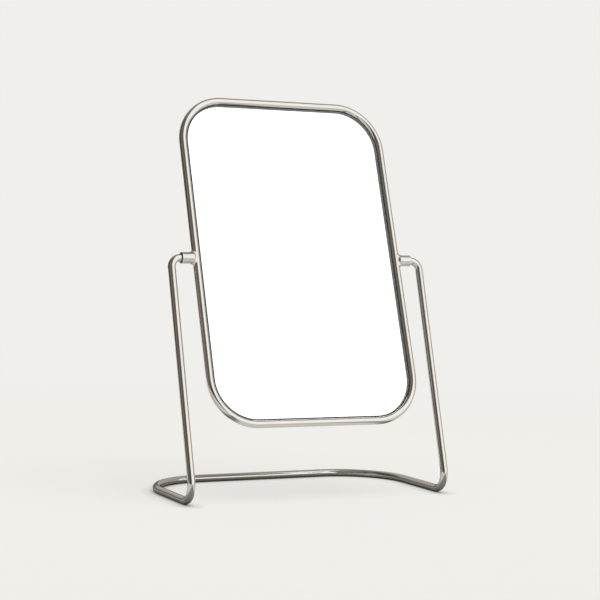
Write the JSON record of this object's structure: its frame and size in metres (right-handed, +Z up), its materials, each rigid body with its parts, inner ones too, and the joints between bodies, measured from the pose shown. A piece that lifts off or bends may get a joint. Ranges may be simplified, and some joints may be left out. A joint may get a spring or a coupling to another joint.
{
  "type": "tilting table mirror",
  "caption": "Free-standing shaving mirror: a glass in a rounded loop of round steel rod, tilting between the legs of a bent rod stand.",
  "frame": {"origin": "on the table, in the middle of the base's width and depth", "axes": "+Z up, +X to the right as the glass is faced, -Y out of the front of the glass"},
  "size_m": [0.2204, 0.123, 0.31],
  "materials": {
    "satin_steel": "satin stainless steel, slightly warm",
    "weld_steel": "dressed weld, satin",
    "black_nylon": "moulded, matt",
    "clear_glass": "clear float glass, polished edge",
    "mirror_silver": "silvered",
    "black_rubber": "matt",
    "foam_tape": "closed-cell foam tape"
  },
  "bodies": {
    "stand": {"stand_rod": "satin_steel"},
    "mirror": {"frame_loop": "satin_steel", "left_socket": "satin_steel", "right_socket": "satin_steel", "left_weld": "weld_steel", "right_weld": "weld_steel", "left_bush": "black_nylon", "right_bush": "black_nylon", "mirror_glass": "clear_glass", "silver_layer": "mirror_silver", "edge_strip": "black_rubber", "mounting_tape": "foam_tape", "back_pan": "satin_steel", "pan_welds": "weld_steel"}
  },
  "joints": [
    {"name": "mirror_tilt", "type": "hinge", "parent": "stand", "child": "mirror", "pos_m": [0, -0.008, 0.183], "axis": [1, 0, 0], "continuous": true}
  ]
}
